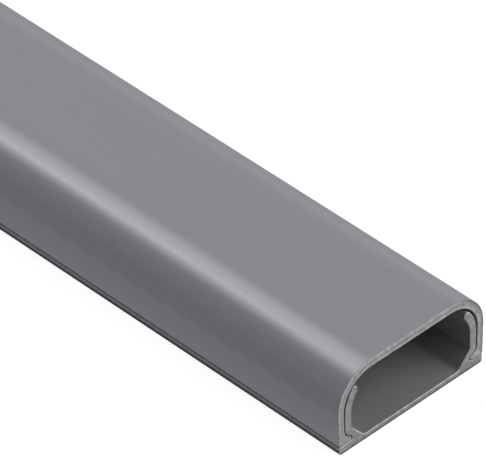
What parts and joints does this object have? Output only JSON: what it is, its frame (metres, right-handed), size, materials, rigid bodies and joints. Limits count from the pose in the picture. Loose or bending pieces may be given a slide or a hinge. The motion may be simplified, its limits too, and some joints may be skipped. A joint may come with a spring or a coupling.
{
  "type": "cord cover raceway",
  "caption": "Straight surface raceway in grey plastic: a flat base with curved legs and a clip-over cover with rounded shoulders, hiding cords along a wall.",
  "frame": {"origin": "middle of the underside of the base, half way along the length", "axes": "+X across the raceway, +Y along it, +Z away from the wall, out of the cover's flat top"},
  "size_m": [0.03, 0.4, 0.0146],
  "materials": {
    "base_plastic": "satin grey extruded PVC, sawn ends",
    "cover_plastic": "satin grey extruded PVC, sawn ends"
  },
  "bodies": {
    "base": {"base": "base_plastic"},
    "cover": {"cover": "cover_plastic"}
  },
  "joints": [
    {"name": "cover_slide", "type": "slide", "parent": "base", "child": "cover", "axis": [0, 1, 0], "range_m": [-0.4, 0.4]}
  ]
}
